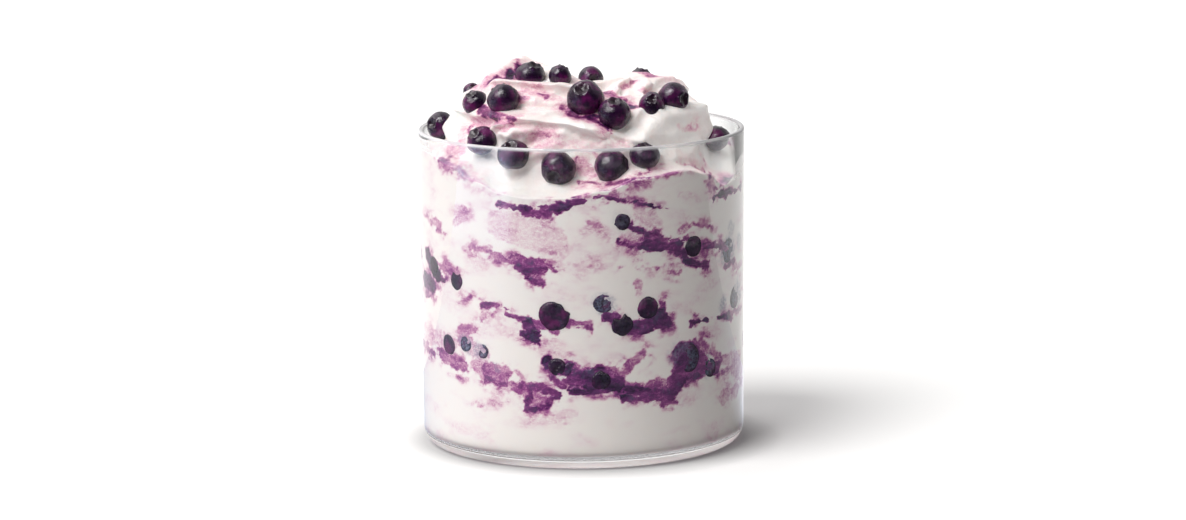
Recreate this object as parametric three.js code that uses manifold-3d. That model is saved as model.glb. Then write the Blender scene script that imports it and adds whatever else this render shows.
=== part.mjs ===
// A soft serve dessert cup: a clear, straight-sided glass tumbler filled with white soft serve,
// four ripples of blueberry sauce that run through it, and a mound on top that is studded with berries.
// Millimetres, +Z up. The origin is the centre of the flat base. Azimuth is in degrees, 0 at the front (-Y)
// and growing towards +X. On the mound, elevation is in degrees above the level of DOME_CENTRE.
import * as THREE from "three";
import { mergeVertices } from "three/addons/utils/BufferGeometryUtils.js";
import Module from "manifold-3d";

const wasm = await Module();
wasm.setup();

// Driving sizes.
const GLASS_HEIGHT = 93.4;
const RIM_RADIUS = 48;
const FOOT_RADIUS = 47.5; // the wall's outer radius carried straight down to the table
const WALL = 1.4;
const FLOOR = 4.0;
const FOOT_ROUND = 4.4; // outer corner between the wall and the base
const CAVITY_ROUND = 3.2; // inner corner between the wall and the floor
const GAP = 0.3; // clearance between touching pieces
const CREAM_RADIUS = FOOT_RADIUS - WALL - GAP;
const DOME_CENTRE = 74; // height of the point that the mound is measured from
const DOME_TOP = 33.5; // reach of the mound straight up from that point
const DOME_POWER = 2.6; // 2 is an ellipsoid, more is boxier
const SKIRT_SLOPE = 0.3; // rise of the cream from the glass inwards, for each unit of radius
const SKIRT_BLEND = 2; // softness of the hollow between the skirt and the mound
const RIPPLE_RETREAT = 4.5; // how far a ripple stays behind the glass where none shows
const RIPPLE_CORE = 2.4; // thickness of a ripple near the axis
const RIPPLE_LEAST = 1.2; // thinnest edge that still reaches the glass

const SECTORS = 48; // of the glass, the cream and the ripples
const DOME_ROWS = 11;
const BERRY_SIDES = 8;

// [azimuth, value]: height of the cream's edge on the glass, and reach of the mound towards each side.
const CONTACT = [
  [-160, 87], [-110, 88], [-71, 88.5], [-52, 86], [-42, 83], [-30, 80], [-18, 79], [-6, 79], [8, 81],
  [20, 84], [40, 85], [50, 83], [60, 79], [70, 79.5], [85, 83], [110, 86], [150, 87],
];
const GIRTH = [
  [-135, 42], [-90, 43], [-45, 41], [0, 37], [45, 40], [90, 39.2], [135, 41], [180, 40],
];

// Broad humps and dents of the mound: [azimuth, elevation, width in degrees, rise].
const HUMPS = [
  [-85, 65, 24, 7.5], [92, 50, 22, 2.6], [150, 50, 22, 1], [-150, 42, 20, 2],
  [-57, 64, 9, -3.5], [24, 31, 7, -3.5], [56, 62, 6, 2.2], [-12, 48, 14, -1.5], [-175, 74, 18, -5],
];

// Folds of the mound: an arc from one direction to another, with its upward bow, the width of its upper and
// lower flanks, all in degrees, and its rise.
const FOLDS = [
  { from: [-38, 31], to: [20, 26], bow: 5, upper: 7, lower: 4.5, rise: 3 },
  { from: [29, 34], to: [80, 33], bow: 3, upper: 6, lower: 8, rise: 3.6 },
  { from: [-62, 48.5], to: [6, 59.5], bow: 0, upper: 5, lower: 9, rise: 1.8 },
  { from: [-112, 34], to: [-70, 27], bow: 4, upper: 8, lower: 5, rise: 1.8 },
  { from: [116, 27], to: [-170, 31], bow: 6, upper: 9, lower: 4.5, rise: 2.8 },
  { from: [126, 50], to: [-122, 56], bow: 5, upper: 8, lower: 4.5, rise: 1.2 },
];

// Each ripple: its height on the axis, then [azimuth, height, thickness] of the edge that shows through the
// glass. Where the thickness is 0 the ripple stays inside the cream.
const RIPPLES = {
  ripple_1: {
    core: 25,
    edge: [
      [-180, 26, 5], [-150, 23, 0], [-125, 27, 6], [-100, 30, 7], [-82, 31, 0], [-68, 31.5, 3], [-57, 31, 7],
      [-48, 29, 5], [-37, 29, 6], [-28, 25, 5], [-19, 22, 8], [-10, 24.5, 5], [-3, 27.5, 8], [8, 25, 6],
      [15, 23.5, 5], [22, 21.5, 3.5], [30, 21, 5], [38, 27, 9], [46, 30, 8], [54, 27, 5], [62, 23, 6],
      [72, 20, 10], [80, 22, 6], [95, 25, 0], [120, 23, 5], [150, 28, 7],
    ],
  },
  ripple_2: {
    core: 43,
    edge: [
      [-38, 46, 0], [-29, 46, 1.6], [-21, 41.5, 5], [-14, 43, 7], [-8, 44, 7.5], [-2, 42, 3], [4, 44, 4],
      [9, 45, 8], [15, 42, 5], [24, 44, 8], [29, 43, 4], [34, 42, 0], [40, 41, 1.4], [52, 41.2, 1.8],
      [60, 42, 4], [68, 44.5, 7], [78, 43, 5], [90, 42, 0], [112, 44, 0], [125, 40, 4], [145, 43, 6],
      [165, 41, 3], [180, 42, 0], [-165, 44, 0], [-140, 46, 4], [-120, 43, 6], [-100, 45, 3], [-86, 44, 0],
    ],
  },
  ripple_3: {
    core: 61,
    edge: [
      [-78, 55, 0], [-70, 54, 6], [-63, 52.5, 10], [-56, 54, 6], [-48, 52, 4], [-41, 58, 0], [-35, 63.5, 1.4],
      [-29, 62, 2], [-22, 60, 2.6], [-15, 57.5, 4.5], [-9, 58.5, 1.4], [0, 60, 0], [5, 67, 0], [12, 70.5, 4],
      [20, 66.5, 5], [28, 63.5, 4], [35, 63.2, 3.5], [42, 61.5, 6], [49, 60.5, 5], [55, 61, 3], [62, 59, 8],
      [70, 61, 5], [82, 61, 0], [92, 59, 0], [105, 58, 4], [125, 62, 6], [140, 60, 0], [160, 57, 0],
      [175, 60, 5], [-165, 63, 6], [-145, 60, 3], [-130, 58, 0], [-112, 61, 4], [-98, 58, 5], [-88, 57, 0],
    ],
  },
  ripple_4: {
    core: 75.5,
    edge: [
      [-38, 76, 0], [-30, 76.2, 1.4], [-22, 75.6, 2.2], [-14, 75.2, 3], [-7, 75.7, 2.6], [0, 76.8, 1.6],
      [7, 77.8, 1.2], [14, 77.6, 1.2], [21, 76.8, 1.4], [28, 75.4, 1.4], [34, 75, 0], [44, 75, 0],
      [51, 74.8, 1.4], [58, 74.4, 2.4], [66, 74.8, 1.4], [74, 75.5, 0], [100, 77, 0], [120, 78, 2.2],
      [145, 76.5, 3], [165, 78, 1.6], [180, 78, 0], [-150, 77, 0], [-130, 78, 2.4], [-110, 77, 1.6],
      [-95, 77, 0], [-60, 77, 0],
    ],
  },
};

// Berries that lie on the mound: [azimuth, elevation, diameter, share that is sunk in the cream].
const TOP_BERRIES = [
  [-61.5, 64.5, 8.8, 0.5], [-26, 69, 6.8, 0.44], [120.5, 84, 7.4, 0.46], [147, 41.5, 7.2, 0.46], [-112, 38.5, 6, 0.5],
  [-64.5, 40, 8.2, 0.4], [-46.5, 44.5, 9.2, 0.38], [3.5, 52.5, 10.8, 0.42], [18, 41, 9.6, 0.32],
  [57.5, 43, 9.4, 0.4], [41.5, 42.5, 7.6, 0.5], [-96, 24.5, 8.3, 0.25], [-45.5, 25.5, 9.2, 0.36], [-29.5, 22, 9.2, 0.4],
  [-10.5, 17.5, 9.6, 0.52], [13, 17.5, 9.6, 0.4], [27.5, 21, 8.4, 0.36], [82, 20.5, 9.0, 0.27],
  [125, 20, 8.6, 0.42], [146, 22, 8.4, 0.45], [163, 28, 9.4, 0.42], [-176, 24, 8.8, 0.4],
  [-154, 26, 7.6, 0.45], [-148, 45, 9.4, 0.4], [-130, 23, 9.0, 0.42],
];

// Berries that are pressed against the glass: [azimuth, height, diameter].
const PRESSED = 0.24; // how near the glass a side berry's centre is, in diameters: its flat hides the rest
const SIDE_BERRIES = [
  [-66, 55, 7.6], [-50.5, 52.6, 7], [-56, 33.3, 7.4], [-46.2, 34.7, 6], [-10, 45, 11], [7, 48.6, 6.8],
  [13.6, 42.2, 8], [23, 47, 8.2], [6, 26.4, 7.6], [14, 72, 7], [42.5, 63, 8], [64, 59.5, 9.4],
  [40.5, 30.5, 9.6], [51.5, 26.5, 7], [70, 44.8, 8.4],
  [108, 58, 7.6], [122, 24, 7.2], [146, 43, 8.6], [178, 60, 7.8], [-176, 27, 7], [-128, 28, 8.2], [-118, 43, 7.4],
  [-9, 30.5, 6.6], [-37.6, 33.2, 5.8],
];

const clamp = THREE.MathUtils.clamp;
const lerp = THREE.MathUtils.lerp;
const radians = THREE.MathUtils.degToRad;
const smooth = (t) => t * t * (3 - 2 * t);

// Value number `column` of a ring of knots at an azimuth: eased from knot to knot, and closed round the circle.
function around(knots, azimuth, column = 1) {
  const sorted = [...knots].sort((p, q) => p[0] - q[0]);
  const a = THREE.MathUtils.euclideanModulo(azimuth - sorted[0][0], 360) + sorted[0][0];
  const after = sorted.findIndex((knot) => knot[0] > a);
  const high = after < 0 ? sorted[0] : sorted[after];
  const low = after < 0 ? sorted[sorted.length - 1] : sorted[after - 1];
  const span = after < 0 ? high[0] + 360 - low[0] : high[0] - low[0];
  return lerp(low[column], high[column], smooth((a - low[0]) / span));
}

// Unit vector of an azimuth and an elevation.
function direction(azimuth, elevation) {
  const a = radians(azimuth);
  const e = radians(elevation);
  return new THREE.Vector3(Math.cos(e) * Math.sin(a), -Math.cos(e) * Math.cos(a), Math.sin(e));
}

// Rise of a broad hump: a bell over the angle from its middle.
function humpRise(towards, [azimuth, elevation, width, rise]) {
  const angle = THREE.MathUtils.radToDeg(towards.angleTo(direction(azimuth, elevation)));
  return rise * Math.exp(-((angle / width) ** 2));
}

// Rise of a fold: a bell across a bowed arc, steeper on its lower flank, fading past the arc's ends.
function foldRise(towards, { from, to, bow, upper, lower, rise }) {
  const start = direction(...from);
  const end = direction(...to);
  const pole = new THREE.Vector3().crossVectors(end, start).normalize();
  const length = start.angleTo(end);
  const along = Math.atan2(towards.dot(new THREE.Vector3().crossVectors(start, pole)), towards.dot(start)) / length;
  const t = clamp(along, 0, 1);
  const beyond = THREE.MathUtils.radToDeg(Math.abs(along - t) * length);
  const across = THREE.MathUtils.radToDeg(Math.asin(clamp(towards.dot(pole), -1, 1)));
  const offset = -across - bow * 4 * t * (1 - t);
  const flank = offset > 0 ? upper : lower;
  return rise * Math.exp(-((offset / flank) ** 2) - (beyond / upper) ** 2);
}

// Distance from DOME_CENTRE to the cream's surface: the mound or the skirt, whichever reaches further.
function reachOfCream(azimuth, elevation) {
  const towards = direction(azimuth, elevation);
  const e = radians(elevation);
  const side = (Math.cos(e) / around(GIRTH, azimuth)) ** DOME_POWER;
  const top = (Math.max(Math.sin(e), 0) / DOME_TOP) ** DOME_POWER;
  let mound = (side + top) ** (-1 / DOME_POWER);
  for (const hump of HUMPS) mound += humpRise(towards, hump);
  for (const fold of FOLDS) mound += foldRise(towards, fold);
  const edge = around(CONTACT, azimuth) - DOME_CENTRE + CREAM_RADIUS * SKIRT_SLOPE;
  const skirt = edge / (Math.sin(e) + SKIRT_SLOPE * Math.cos(e));
  const further = (mound + skirt + Math.hypot(mound - skirt, SKIRT_BLEND)) / 2;
  return Math.min(further, CREAM_RADIUS / Math.max(Math.cos(e), 1e-6));
}

function onMound(azimuth, elevation, above = 0) {
  const point = direction(azimuth, elevation).multiplyScalar(reachOfCream(azimuth, elevation) + above);
  point.z += DOME_CENTRE;
  return point;
}

function atRadius(azimuth, radius, height) {
  return direction(azimuth, 0).multiplyScalar(radius).setZ(height);
}

// A lathe of `rows` points whose every vertex is put where place(azimuth, row) says. Rows run up the outside.
function shapedLathe(rows, sectors, place) {
  const profile = Array.from({ length: rows }, (_, row) => new THREE.Vector2(row ? 1 : 0, row));
  const lathe = new THREE.LatheGeometry(profile, sectors);
  const position = lathe.getAttribute("position");
  for (let i = 0; i < position.count; i++) {
    const sector = Math.floor(i / rows) % sectors;
    position.setXYZ(i, ...place((360 * sector) / sectors, i % rows).toArray());
  }
  return lathe;
}

// Between a mesh and a closed manifold-3d solid.
function solidOf(geometry) {
  const bare = geometry.clone();
  bare.deleteAttribute("normal");
  bare.deleteAttribute("uv");
  const merged = mergeVertices(bare, 1e-4);
  const mesh = new wasm.Mesh({
    numProp: 3,
    vertProperties: new Float32Array(merged.getAttribute("position").array),
    triVerts: new Uint32Array(merged.index.array),
  });
  return new wasm.Manifold(mesh);
}

function geometryOf(solid) {
  const mesh = solid.getMesh();
  const geometry = new THREE.BufferGeometry();
  geometry.setAttribute("position", new THREE.BufferAttribute(mesh.vertProperties, 3));
  geometry.setIndex(new THREE.BufferAttribute(mesh.triVerts, 1));
  geometry.computeVertexNormals();
  return geometry;
}

// The largest of the bodies that cutting leaves: loose scraps are dropped.
function largest(solid) {
  return solid.decompose().reduce((best, body) => (body.volume() > best.volume() ? body : best));
}

function arc(centreX, centreY, radius, from, to, steps) {
  return Array.from({ length: steps + 1 }, (_, i) => {
    const angle = radians(lerp(from, to, i / steps));
    return new THREE.Vector2(centreX + radius * Math.cos(angle), centreY + radius * Math.sin(angle));
  });
}

// Glass: a floor and a thin wall with a fire-rounded rim, in one turned profile.
function makeGlass() {
  const lip = WALL / 2;
  const cavityFoot = FOOT_RADIUS - WALL;
  const profile = [
    new THREE.Vector2(0, 0),
    ...arc(FOOT_RADIUS - FOOT_ROUND, FOOT_ROUND, FOOT_ROUND, -90, 0, 3),
    ...arc(RIM_RADIUS - lip, GLASS_HEIGHT - lip, lip, 0, 180, 3),
    ...arc(cavityFoot - CAVITY_ROUND, FLOOR + CAVITY_ROUND, CAVITY_ROUND, 0, -90, 2),
    new THREE.Vector2(0, FLOOR),
  ];
  return new THREE.LatheGeometry(profile, SECTORS).rotateX(Math.PI / 2);
}

// Cream, before anything is cut out of it: floor, rounded corner, wall, then the skirt and the mound.
function makeCream() {
  const foot = FLOOR + GAP;
  const corner = arc(CREAM_RADIUS - 0.6 - CAVITY_ROUND, foot + CAVITY_ROUND, CAVITY_ROUND, -90, 0, 2);
  const below = [new THREE.Vector2(0, foot), ...corner];
  return shapedLathe(below.length + DOME_ROWS, SECTORS, (azimuth, row) => {
    if (row < below.length) return atRadius(azimuth, below[row].x, below[row].y);
    const t = (row - below.length) / (DOME_ROWS - 1);
    const edge = around(CONTACT, azimuth) - DOME_CENTRE;
    const lowest = THREE.MathUtils.radToDeg(Math.atan2(edge, CREAM_RADIUS));
    return t === 1 ? onMound(0, 90) : onMound(azimuth, lerp(lowest, 90, t));
  });
}

// A ripple: a wavy sheet from the axis out to the glass, thickest where its edge shows most.
// `spare` grows it upwards, downwards and outwards, to cut the slot that it lies in.
function makeRipple({ core, edge }, spare = 0) {
  const rings = spare ? [0, 1, 1] : [0, 1];
  const rows = 2 * rings.length;
  return shapedLathe(rows, SECTORS, (azimuth, row) => {
    const below = row < rings.length;
    const index = below ? row : rows - 1 - row;
    const ring = rings[index];
    const shown = around(edge, azimuth, 2);
    const shows = shown > RIPPLE_LEAST / 2;
    const reach = shows ? CREAM_RADIUS : CREAM_RADIUS - RIPPLE_RETREAT;
    const opening = spare && index === rings.length - 1 ? spare + (shows ? 1 : 0) : 0;
    const height = lerp(core, around(edge, azimuth), ring ** 1.5);
    const half = lerp(RIPPLE_CORE, Math.max(shown, RIPPLE_LEAST), ring ** 3) / 2 + spare;
    return atRadius(azimuth, ring * reach + opening, height + (below ? -half : half));
  });
}

// A berry's half outline, for a radius of 1: a slightly flat ball with a shallow crown at the top. The hollow
// that it lies in is a plainer, slightly larger outline, and GAP larger all round.
const BERRY_OUTLINE = [[0, -1], [0.72, -0.7], [1, 0.05], [0.68, 0.8], [0.36, 0.88], [0, 0.68]];
const HOLLOW_OUTLINE = [[0, -1.02], [0.78, -0.68], [1.02, 0.05], [0.74, 0.8], [0, 0.98]];

function makeBerry({ centre, diameter, crown }, outline = BERRY_OUTLINE, spare = 0) {
  const berry = new THREE.LatheGeometry(outline.map(([r, y]) => new THREE.Vector2(r, y)), BERRY_SIDES);
  const size = diameter / 2 + spare;
  const turn = new THREE.Quaternion().setFromUnitVectors(new THREE.Vector3(0, 1, 0), crown);
  return berry.scale(size, size, size).applyQuaternion(turn).translate(...centre.toArray());
}

// Where each berry is, and which way its crown points. The turn of the crowns is a fixed, uneven sequence.
const berries = new Map();
TOP_BERRIES.forEach(([azimuth, elevation, diameter, sunk], i) => {
  const centre = onMound(azimuth, elevation, (0.5 - sunk) * diameter);
  const room = CREAM_RADIUS - diameter / 2;
  const radius = Math.hypot(centre.x, centre.y);
  if (radius > room) centre.multiply(new THREE.Vector3(room / radius, room / radius, 1));
  const crown = direction(azimuth + 75 * Math.sin(2.4 * i), elevation + 30 * Math.cos(1.7 * i));
  berries.set("berry_top_" + String(i + 1).padStart(2, "0"), { centre, diameter, crown });
});
SIDE_BERRIES.forEach(([azimuth, height, diameter], i) => {
  const centre = atRadius(azimuth, CREAM_RADIUS - PRESSED * diameter, height);
  const crown = direction(azimuth + 120 + 60 * Math.sin(2.1 * i), 40 * Math.cos(1.3 * i));
  berries.set("berry_side_" + String(i + 1).padStart(2, "0"), { centre, diameter, crown });
});

const glassFinish = new THREE.MeshStandardMaterial({
  color: 0xf4f7f8, roughness: 0.03, metalness: 0, transparent: true, opacity: 0.3,
});
const creamFinish = new THREE.MeshStandardMaterial({ color: 0xf6f3ee, roughness: 0.5, metalness: 0 });
const sauceFinish = new THREE.MeshStandardMaterial({ color: 0x5a1f5c, roughness: 0.3, metalness: 0 });
const berryFinish = new THREE.MeshStandardMaterial({ color: 0x2a1736, roughness: 0.35, metalness: 0 });

const group = new THREE.Group();

function add(name, geometry, finish) {
  const mesh = new THREE.Mesh(geometry, finish);
  mesh.name = name;
  group.add(mesh);
}

const hollows = [...berries.values()].map((berry) => solidOf(makeBerry(berry, HOLLOW_OUTLINE, GAP)));
const berryHollows = wasm.Manifold.union(hollows);

add("glass", makeGlass(), glassFinish);

const filling = solidOf(makeCream());
let cream = filling.subtract(berryHollows);
for (const [name, ripple] of Object.entries(RIPPLES)) {
  cream = cream.subtract(solidOf(makeRipple(ripple, GAP)));
  const sheet = solidOf(makeRipple(ripple)).subtract(berryHollows);
  add(name, geometryOf(largest(sheet)), sauceFinish);
}
add("cream", geometryOf(largest(cream)), creamFinish);

for (const [name, berry] of berries) {
  const pressed = name.startsWith("berry_side");
  const shape = pressed ? geometryOf(solidOf(makeBerry(berry)).intersect(filling)) : makeBerry(berry);
  add(name, shape, berryFinish);
}

export default group;
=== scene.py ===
"""Soft serve dessert cup: a clear glass tumbler filled with white soft serve that is rippled with dark berry
sauce, under a folded mound studded with whole blueberries.

Every surface is worked out with numpy in millimetres and made a mesh in metres. Azimuth is in degrees from
the front (-Y), growing towards +X. On the mound, elevation is in degrees above the level of MOUND_CENTRE.
"""
import math

import bpy
import numpy as np
from mathutils import Matrix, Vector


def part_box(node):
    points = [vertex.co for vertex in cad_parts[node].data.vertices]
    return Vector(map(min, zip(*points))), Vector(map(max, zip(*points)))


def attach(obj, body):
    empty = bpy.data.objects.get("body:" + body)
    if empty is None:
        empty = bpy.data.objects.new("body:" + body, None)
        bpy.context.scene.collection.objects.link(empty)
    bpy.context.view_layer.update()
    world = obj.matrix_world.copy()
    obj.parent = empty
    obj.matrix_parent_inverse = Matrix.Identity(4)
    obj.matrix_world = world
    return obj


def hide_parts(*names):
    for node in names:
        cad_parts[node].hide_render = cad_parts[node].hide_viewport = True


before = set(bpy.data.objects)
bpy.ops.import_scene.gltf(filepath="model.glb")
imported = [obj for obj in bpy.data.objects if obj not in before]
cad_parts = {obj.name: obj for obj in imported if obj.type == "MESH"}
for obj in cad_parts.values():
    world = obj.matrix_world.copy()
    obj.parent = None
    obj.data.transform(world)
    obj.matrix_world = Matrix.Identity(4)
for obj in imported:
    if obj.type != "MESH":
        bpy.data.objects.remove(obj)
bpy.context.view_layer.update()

MM = 0.001


def corners(node):
    """The lowest and the highest corner of a solid's box, in millimetres."""
    return (np.array(corner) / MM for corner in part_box(node))


# ---- Sizes, in millimetres ----
_, glass_high = corners("glass")
GLASS_HEIGHT = float(glass_high[2])
RIM_RADIUS = float(glass_high[0])
FOOT_RADIUS = RIM_RADIUS - 0.5
WALL = 1.4
FLOOR = 4.0
FOOT_ROUND = 4.4
CAVITY_ROUND = 1.4
CREAM_RADIUS = FOOT_RADIUS - WALL - 0.3  # of the solid, which keeps a gap to the glass
INTO_WALL = 0.15  # how far the filling reaches into the glass, so that no air shows between them
STAIN_RADIUS = 46.2  # where the strokes of sauce on the glass are laid out
RIPPLE_REACH = 44.5  # the radius that a ripple's sheet runs towards inside the cream
MOUND_CENTRE = 74.0
MOUND_TOP = 33.5
MOUND_POWER = 2.6  # 2 would be an ellipse, and more is squarer
SKIRT_SLOPE = 0.3
SKIRT_BLEND = 2.0
BERRY_DEPTH = 0.24  # how far behind the glass a pressed berry's centre lies, in diameters
TOP_BERRY_GROWTH = 1.05  # a berry's size over its solid's, because the solids keep a gap to the cream
SIDE_BERRY_GROWTH = 1.06

# ---- The filling's form: [azimuth, value] round the cup ----
# Height at which the mound meets the glass.
CONTACT = [
    [-160, 87], [-110, 88], [-71, 88.5], [-52, 86], [-42, 83], [-30, 80], [-18, 79], [-6, 79], [8, 81],
    [20, 84], [40, 85], [50, 83], [60, 79], [70, 79.5], [85, 83], [110, 86], [150, 87],
]
# Radius of the mound.
GIRTH = [
    [-135, 42], [-90, 43], [-45, 41], [0, 37], [45, 40], [90, 39.2], [135, 41], [180, 40],
]
# Broad humps and dents: azimuth, elevation, width in degrees, rise.
HUMPS = [
    [-85, 65, 24, 7.5], [92, 50, 22, 2.6], [150, 50, 22, 1], [-150, 42, 20, 2],
    [-57, 64, 9, -3.5], [24, 31, 7, -3.5], [56, 62, 6, 2.2], [-12, 48, 14, -1.5], [-175, 74, 18, -5],
]
# Main folds: from (azimuth, elevation), to (azimuth, elevation), bow, upper flank, lower flank, rise.
FOLDS = [
    [(-38, 31), (20, 26), 5, 7, 4.5, 3],
    [(29, 34), (80, 33), 3, 6, 8, 3.6],
    [(-62, 48.5), (6, 59.5), 0, 5, 9, 1.8],
    [(-112, 34), (-70, 27), 4, 8, 5, 1.8],
    [(116, 27), (-170, 31), 6, 9, 4.5, 2.8],
    [(126, 50), (-122, 56), 5, 8, 4.5, 1.2],
]
# Finer folds that the main ones carry, with the same columns, and how far the crest leans downhill.
CREASES = [
    [(-40, 34), (10, 32), 3, 3.5, 1.3, 1.5, 1.3],
    [(-36, 30), (-24, 33), -3, 2.5, 1.2, 1.2, 0.4],
    [(-72, 36), (-30, 39), -2, 4, 1.5, 1.8, 1.2],
    [(-62, 52), (4, 60.5), -2, 4, 1.3, 1.5, 1.1],
    [(-44, 48), (-10, 52), -2, 4, 1.8, 1.1, 0.6],
    [(-20, 44), (-2, 48), 1, 3, 1.8, 0.9, 0.4],
    [(-31, 16), (-14, 24), 2, 4, 1.8, 1.2, 0.4],
    [(-30, 9), (-4, 9), 3, 5, 2.6, 1.2, 0.4],
    [(3, 36), (36, 22), 2, 3, 1.8, 1.5, 0.8],
    [(28, 39), (40, 41), 2, 3.5, 2, 1.9, 0.5],
    [(41, 37), (78, 36), -2, 3, 2.4, 1.2, 0.6],
    [(18, 13), (60, 16), 3, 3, 1.6, 1, 0.3],
    [(30, 30), (70, 29), -1, 4, 2.2, 0.9, 0.3],
    [(34, 60), (48, 63), 2, 3, 1.6, 1.9, 0.5],
    [(46, 50), (60, 55), 2, 2.5, 1.6, 1.4, 0.3],
    [(60, 58), (72, 61), 1, 2, 1.5, 1.3, 0.3],
    [(8, 66), (60, 70), 2, 4, 2.2, 1.2, 0.4],
    [(60, 55), (95, 52), 3, 4, 2.2, 1.5, 0.6],
    [(88, 44), (106, 50), 0, 9, 9, 1.9, 0],
    [(60, 22), (100, 24), 2, 4, 2.6, 1.3, 0.4],
    [(-78, 50), (-97, 67), -2, 3, 1.8, 1.4, 0.4],
    [(-100, 66), (-42, 71), 5, 3.5, 1.8, 1.0, 0.4],
    [(-43, 30), (-36, 33.5), 1, 2, 1.2, 1.2, 0.5],
    [(-34, 28.5), (-27, 32), 1, 2, 1.2, 1.2, 0.5],
    [(-68, 28), (-82, 40), 1, 3, 2, 1.1, 0.2],
    [(-100, 24), (-62, 20), 3, 4, 2.2, 1.4, 0.5],
    [(-60, 24), (-36, 22), 2, 3, 1.8, 1.1, 0.4],
    [(100, 44), (140, 38), 3, 4, 1.8, 1.6, 0.9],
    [(110, 60), (170, 64), 3, 4, 1.8, 1.3, 0.7],
    [(126, 22), (176, 25), 2, 4, 2, 1.4, 0.9],
    [(-176, 48), (-128, 40), 3, 4, 1.8, 1.6, 0.9],
    [(-172, 28), (-118, 30), 3, 4, 1.8, 1.5, 0.9],
    [(-150, 62), (-104, 58), 2, 3.5, 1.8, 1.3, 0.6],
    [(-140, 20), (-96, 19), 2, 4, 2, 1.3, 0.6],
]

# ---- Sauce ripples: height on the axis, then azimuth, height, thickness where each meets the glass ----
RIPPLES = {
    "ripple_1": (25, [
        [-180, 26, 5], [-150, 23, 0], [-125, 27, 6], [-100, 30, 7], [-82, 31, 0], [-68, 31.5, 3],
        [-57, 31, 7], [-48, 29, 5], [-37, 29, 6], [-28, 25, 5], [-19, 22, 8], [-10, 24.5, 5], [-3, 27.5, 8],
        [8, 25, 6], [15, 23.5, 5], [22, 21.5, 3.5], [30, 21, 5], [38, 27, 9], [46, 30, 8], [54, 27, 5],
        [62, 23, 6], [72, 20, 10], [80, 22, 6], [95, 25, 0], [120, 23, 5], [150, 28, 7],
    ]),
    "ripple_2": (43, [
        [-38, 46, 0], [-29, 46, 1.6], [-21, 41.5, 5], [-14, 43, 7], [-8, 44, 7.5], [-2, 42, 3], [4, 44, 4],
        [9, 45, 8], [15, 42, 5], [24, 44, 8], [29, 43, 4], [34, 42, 0], [40, 41, 1.4], [52, 41.2, 1.8],
        [60, 42, 4], [68, 44.5, 7], [78, 43, 5], [90, 42, 0], [112, 44, 0], [125, 40, 4], [145, 43, 6],
        [165, 41, 3], [180, 42, 0], [-165, 44, 0], [-140, 46, 4], [-120, 43, 6], [-100, 45, 3], [-86, 44, 0],
    ]),
    "ripple_3": (61, [
        [-78, 55, 0], [-70, 54, 6], [-63, 52.5, 10], [-56, 54, 6], [-48, 52, 4], [-41, 58, 0],
        [-35, 63.5, 1.4], [-29, 62, 2], [-22, 60, 2.6], [-15, 57.5, 4.5], [-9, 58.5, 1.4], [0, 60, 0],
        [5, 67, 0], [12, 70.5, 4], [20, 66.5, 5], [28, 63.5, 4], [35, 63.2, 3.5], [42, 61.5, 6],
        [49, 60.5, 5], [55, 61, 3], [62, 59, 8], [70, 61, 5], [82, 61, 0], [92, 59, 0], [105, 58, 4],
        [125, 62, 6], [140, 60, 0], [160, 57, 0], [175, 60, 5], [-165, 63, 6], [-145, 60, 3], [-130, 58, 0],
        [-112, 61, 4], [-98, 58, 5], [-88, 57, 0],
    ]),
    "ripple_4": (75.5, [
        [-38, 76, 0], [-30, 76.2, 1.4], [-22, 75.6, 2.2], [-14, 75.2, 3], [-7, 75.7, 2.6], [0, 76.8, 1.6],
        [7, 77.8, 1.2], [14, 77.6, 1.2], [21, 76.8, 1.4], [28, 75.4, 1.4], [34, 75, 0], [44, 75, 0],
        [51, 74.8, 1.4], [58, 74.4, 2.4], [66, 74.8, 1.4], [74, 75.5, 0], [100, 77, 0], [120, 78, 2.2],
        [145, 76.5, 3], [165, 78, 1.6], [180, 78, 0], [-150, 77, 0], [-130, 78, 2.4], [-110, 77, 1.6],
        [-95, 77, 0], [-60, 77, 0],
    ]),
}

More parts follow.
